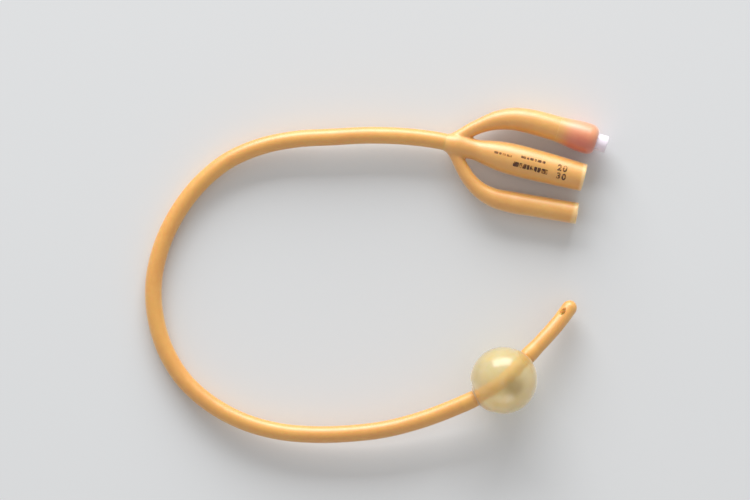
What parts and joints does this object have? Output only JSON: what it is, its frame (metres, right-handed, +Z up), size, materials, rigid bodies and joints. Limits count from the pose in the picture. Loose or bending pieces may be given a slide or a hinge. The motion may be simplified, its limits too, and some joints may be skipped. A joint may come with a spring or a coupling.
{
  "type": "foley urinary catheter",
  "caption": "Three-way latex balloon catheter lying in a C, with a drainage funnel, an irrigation arm, a sprung inflation valve and its balloon filled.",
  "frame": {"origin": "at table height, under the middle of the whole part's box", "axes": "+X along the drainage funnel, out of its mouth; +Z up from the table"},
  "size_m": [0.1686, 0.1521, 0.0265],
  "materials": {
    "amber_latex": "glossy dipped latex, amber",
    "balloon_latex": "thin stretched latex, pale yellow, see-through",
    "pink_latex": "smooth latex, salmon pink",
    "white_plastic": "moulded, slightly glossy",
    "grey_rubber": "matt",
    "spring_steel": "drawn wire"
  },
  "bodies": {
    "catheter": {"shaft": "amber_latex", "balloon": "balloon_latex", "funnel": "amber_latex", "colour_sleeve": "pink_latex", "valve_body": "white_plastic", "spring_retainer": "white_plastic", "valve_spring": "spring_steel"},
    "plunger": {"valve_plunger": "white_plastic", "valve_seal": "grey_rubber"}
  },
  "joints": [
    {"name": "valve_push", "type": "slide", "parent": "catheter", "child": "plunger", "axis": [-0.9981, 0.061, 0], "range_m": [0, 0.0015], "stiffness_N_per_m": 150, "springref_m": -0.002, "deforming": ["valve_spring"]}
  ]
}
